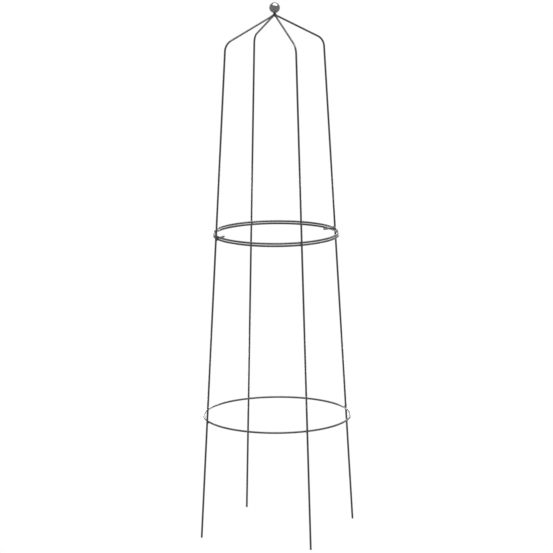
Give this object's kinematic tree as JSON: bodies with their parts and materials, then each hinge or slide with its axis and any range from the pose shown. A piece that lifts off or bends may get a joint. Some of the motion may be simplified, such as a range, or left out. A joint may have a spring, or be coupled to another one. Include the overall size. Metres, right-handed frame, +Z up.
{
  "type": "garden obelisk",
  "caption": "Tapering wire garden obelisk in two sections with round hoops, inward-bent tops and a ball finial, for climbing plants.",
  "frame": {"origin": "on the centre line, at the height of the leg ends", "axes": "+Z up, +X through leg 1, +Y through leg 2"},
  "size_m": [0.4726, 0.4726, 1.499],
  "materials": {
    "wire_paint": "satin dark grey powder coat",
    "ball_paint": "glossy dark grey powder coat",
    "weld_paint": "uneven satin dark grey powder coat over weld",
    "plated_steel": "zinc-plated steel"
  },
  "bodies": {
    "lower_section": {"lower_leg_1": "wire_paint", "lower_leg_2": "wire_paint", "lower_leg_3": "wire_paint", "lower_leg_4": "wire_paint", "lower_ring": "wire_paint", "lower_ring_welds": "weld_paint", "lower_hoop": "wire_paint", "lower_hoop_welds": "weld_paint", "joint_pin_1": "plated_steel", "joint_pin_2": "plated_steel", "joint_pin_3": "plated_steel", "joint_pin_4": "plated_steel"},
    "upper_section": {"upper_leg_1": "wire_paint", "upper_leg_2": "wire_paint", "upper_leg_3": "wire_paint", "upper_leg_4": "wire_paint", "upper_hoop": "wire_paint", "upper_hoop_welds": "weld_paint", "apex_weld": "weld_paint", "finial_stud": "wire_paint"},
    "finial": {"finial_ball": "ball_paint"}
  },
  "joints": [
    {"name": "upper_section_lift", "type": "slide", "parent": "lower_section", "child": "upper_section", "axis": [0, 0, 1], "range_m": [0, 0.25]},
    {"name": "finial_turn", "type": "hinge", "parent": "upper_section", "child": "finial", "pos_m": [0, 0, 1.484], "axis": [0, 0, 1], "continuous": true}
  ]
}
